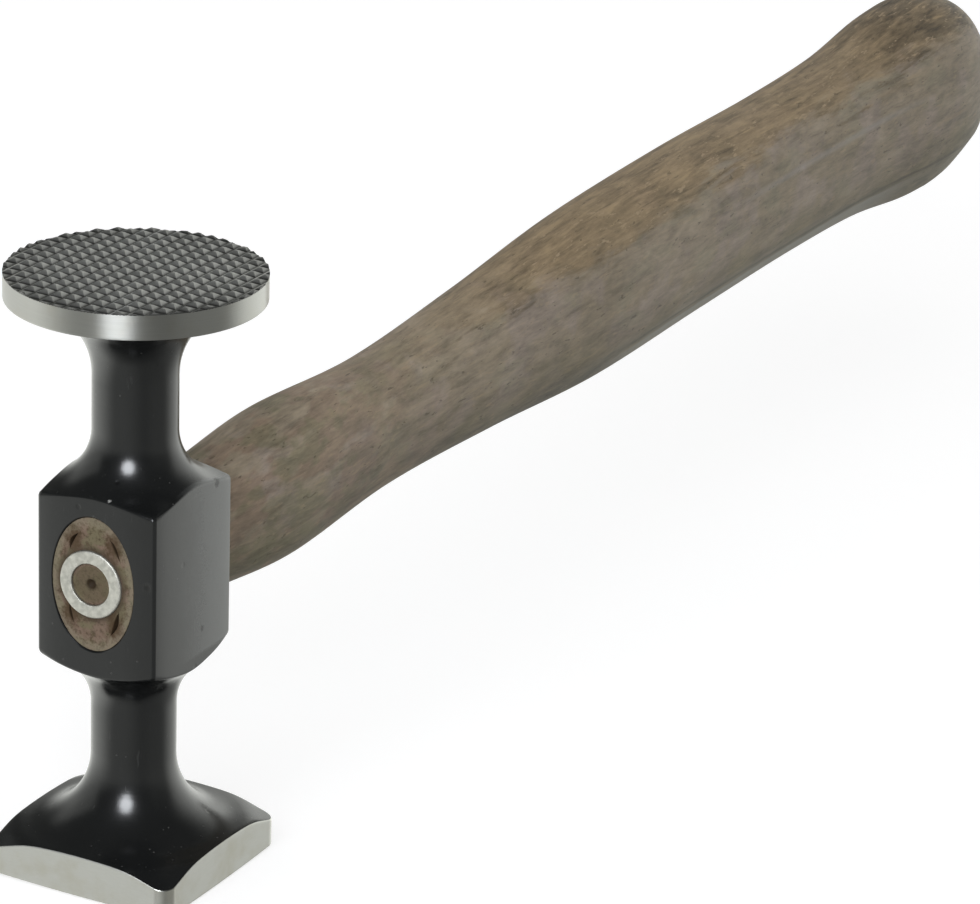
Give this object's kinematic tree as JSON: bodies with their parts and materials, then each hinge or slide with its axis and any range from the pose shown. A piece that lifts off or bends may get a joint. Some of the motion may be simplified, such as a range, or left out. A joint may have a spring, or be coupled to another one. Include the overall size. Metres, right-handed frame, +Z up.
{
  "type": "auto body hammer",
  "caption": "Panel beating hammer with a toothed round face and a crowned square face on a contoured hickory handle held by a ring wedge.",
  "frame": {"origin": "middle of the square striking face, on its flat land", "axes": "+Z up the head's axis from the square face to the toothed round face, +X along the handle from the head to the knob, Y across"},
  "size_m": [0.34, 0.04, 0.0978],
  "materials": {
    "black_lacquered_steel": "glossy black lacquer on forged steel, with the rims and faces ground bare",
    "bright_steel": "ground bare steel",
    "stained_hickory": "grey brown stained hickory under satin lacquer"
  },
  "bodies": {
    "root": {"head": "black_lacquered_steel", "handle": "stained_hickory", "ring_wedge": "bright_steel"}
  },
  "joints": []
}
